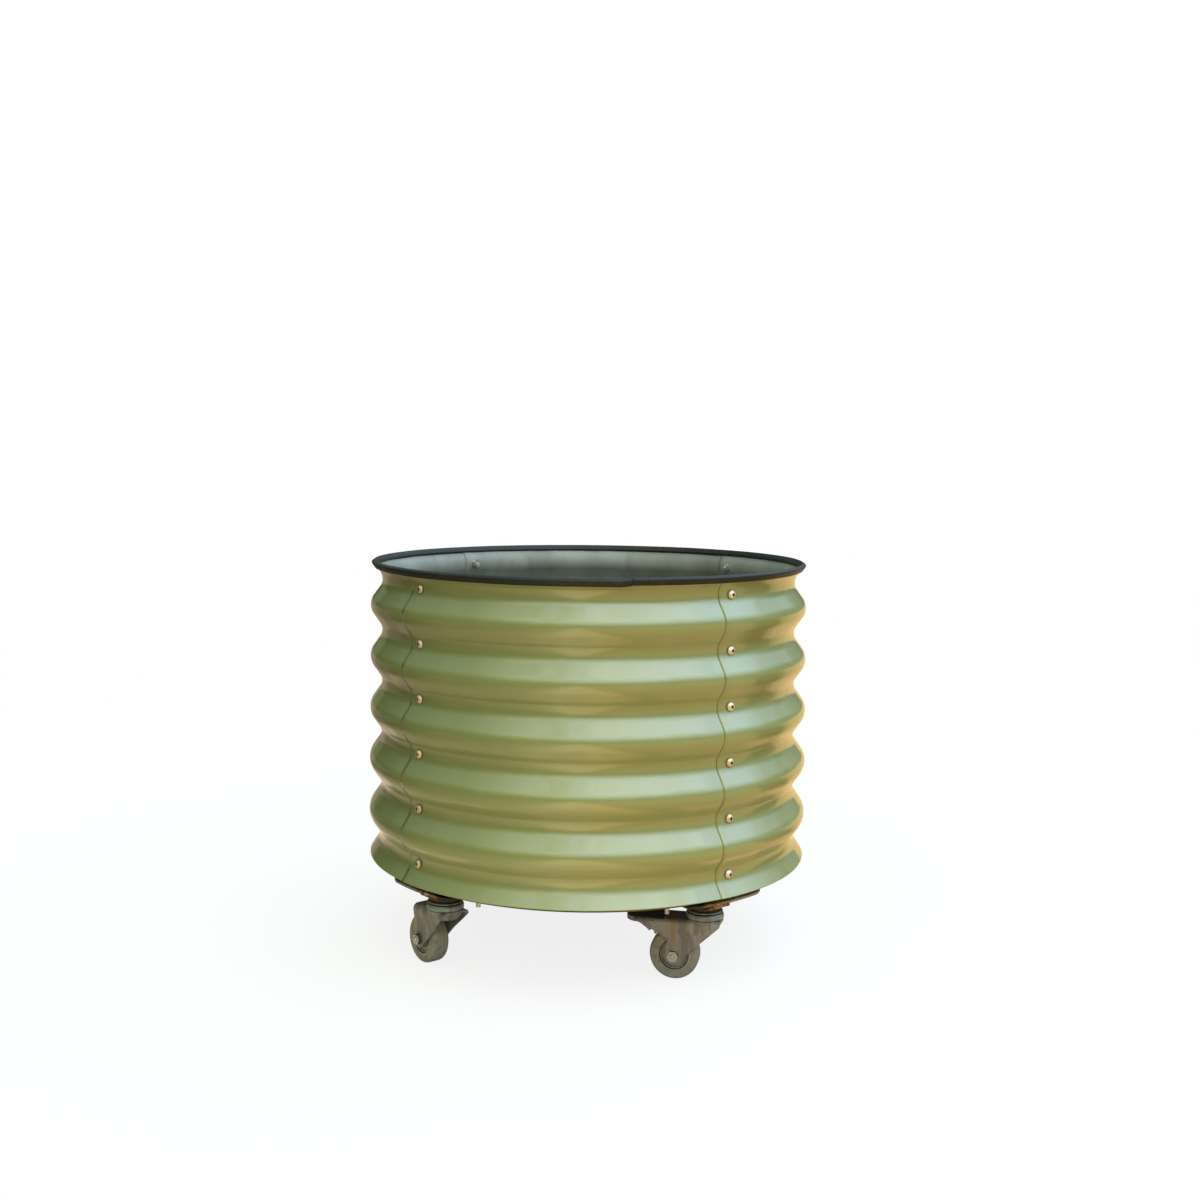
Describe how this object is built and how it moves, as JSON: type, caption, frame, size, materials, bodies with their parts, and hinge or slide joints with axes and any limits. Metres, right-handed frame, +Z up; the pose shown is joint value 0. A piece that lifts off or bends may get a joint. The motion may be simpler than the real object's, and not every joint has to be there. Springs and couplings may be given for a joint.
{
  "type": "rolling planter",
  "caption": "Round corrugated steel planter wall bolted from lapped panels, with rubber edge trim and a drained base pan, on swivel casters with foot brakes.",
  "frame": {"origin": "on the floor, on the planter's axis, below the middle of its wall", "axes": "+Z up, -Y the front, +X to the right seen from the front"},
  "size_m": [0.61, 0.61, 0.5239],
  "materials": {
    "paint": "semi-gloss sage green paint on corrugated steel sheet",
    "trim": "black extruded rubber edge trim",
    "pedal": "dark worn pad",
    "zinc": "pale gold zinc plating",
    "pan": "dark galvanised sheet",
    "rust": "folded steel plate with surface rust",
    "galvanised": "dull zinc plated pressed steel",
    "hub": "grey moulded hub",
    "tyre": "grey non-marking rubber"
  },
  "bodies": {
    "planter": {"panel_front": "paint", "panel_right": "paint", "panel_rear": "paint", "panel_left": "paint", "rim_trim": "trim", "joint_bolts": "zinc", "joint_washers": "zinc", "joint_nuts": "zinc", "base_pan": "pan", "pan_bolts": "zinc", "pan_nuts": "zinc", "bracket_fr": "rust", "bracket_fl": "rust", "bracket_rr": "rust", "bracket_rl": "rust", "kingpins": "zinc", "kingpin_nuts": "zinc", "upper_race_fr": "galvanised", "upper_race_fl": "galvanised", "upper_race_rr": "galvanised", "upper_race_rl": "galvanised", "race_balls": "zinc"},
    "swivel_front_right": {"lower_race_fr": "galvanised", "fork_fr": "galvanised", "sleeve_fr": "zinc", "axle_bolt_fr": "zinc", "axle_nut_fr": "zinc", "brake_pin_fr": "galvanised"},
    "wheel_front_right": {"hub_fr": "hub", "tyre_fr": "tyre"},
    "brake_front_right": {"brake_lever_fr": "galvanised", "brake_pad_fr": "pedal"},
    "swivel_front_left": {"lower_race_fl": "galvanised", "fork_fl": "galvanised", "sleeve_fl": "zinc", "axle_bolt_fl": "zinc", "axle_nut_fl": "zinc"},
    "wheel_front_left": {"hub_fl": "hub", "tyre_fl": "tyre"},
    "swivel_rear_right": {"lower_race_rr": "galvanised", "fork_rr": "galvanised", "sleeve_rr": "zinc", "axle_bolt_rr": "zinc", "axle_nut_rr": "zinc"},
    "wheel_rear_right": {"hub_rr": "hub", "tyre_rr": "tyre"},
    "swivel_rear_left": {"lower_race_rl": "galvanised", "fork_rl": "galvanised", "sleeve_rl": "zinc", "axle_bolt_rl": "zinc", "axle_nut_rl": "zinc", "brake_pin_rl": "galvanised"},
    "wheel_rear_left": {"hub_rl": "hub", "tyre_rl": "tyre"},
    "brake_rear_left": {"brake_lever_rl": "galvanised", "brake_pad_rl": "pedal"}
  },
  "joints": [
    {"name": "front_right_swivel", "type": "hinge", "parent": "planter", "child": "swivel_front_right", "pos_m": [0.16845, -0.18064, 0.09], "axis": [0, 0, 1], "continuous": true},
    {"name": "front_right_wheel_spin", "type": "hinge", "parent": "swivel_front_right", "child": "wheel_front_right", "pos_m": [0.13082, -0.17536, 0.032], "axis": [-0.1392, -0.9903, 0], "continuous": true},
    {"name": "front_right_brake", "type": "hinge", "parent": "swivel_front_right", "child": "brake_front_right", "pos_m": [0.10329, -0.17149, 0.073], "axis": [-0.1392, -0.9903, 0], "range_deg": [0, 15]},
    {"name": "front_left_swivel", "type": "hinge", "parent": "planter", "child": "swivel_front_left", "pos_m": [-0.16845, -0.18064, 0.09], "axis": [0, 0, 1], "continuous": true},
    {"name": "front_left_wheel_spin", "type": "hinge", "parent": "swivel_front_left", "child": "wheel_front_left", "pos_m": [-0.19485, -0.15331, 0.032], "axis": [-0.7193, -0.6947, 0], "continuous": true},
    {"name": "rear_right_swivel", "type": "hinge", "parent": "planter", "child": "swivel_rear_right", "pos_m": [0.16845, 0.18064, 0.09], "axis": [0, 0, 1], "continuous": true},
    {"name": "rear_right_wheel_spin", "type": "hinge", "parent": "swivel_rear_right", "child": "wheel_rear_right", "pos_m": [0.20459, 0.19239, 0.032], "axis": [-0.309, 0.9511, 0], "continuous": true},
    {"name": "rear_left_swivel", "type": "hinge", "parent": "planter", "child": "swivel_rear_left", "pos_m": [-0.16845, 0.18064, 0.09], "axis": [0, 0, 1], "continuous": true},
    {"name": "rear_left_wheel_spin", "type": "hinge", "parent": "swivel_rear_left", "child": "wheel_rear_left", "pos_m": [-0.20416, 0.19364, 0.032], "axis": [-0.342, -0.9397, 0], "continuous": true},
    {"name": "rear_left_brake", "type": "hinge", "parent": "swivel_rear_left", "child": "brake_rear_left", "pos_m": [-0.23028, 0.20315, 0.073], "axis": [-0.342, -0.9397, 0], "range_deg": [0, 15]}
  ]
}
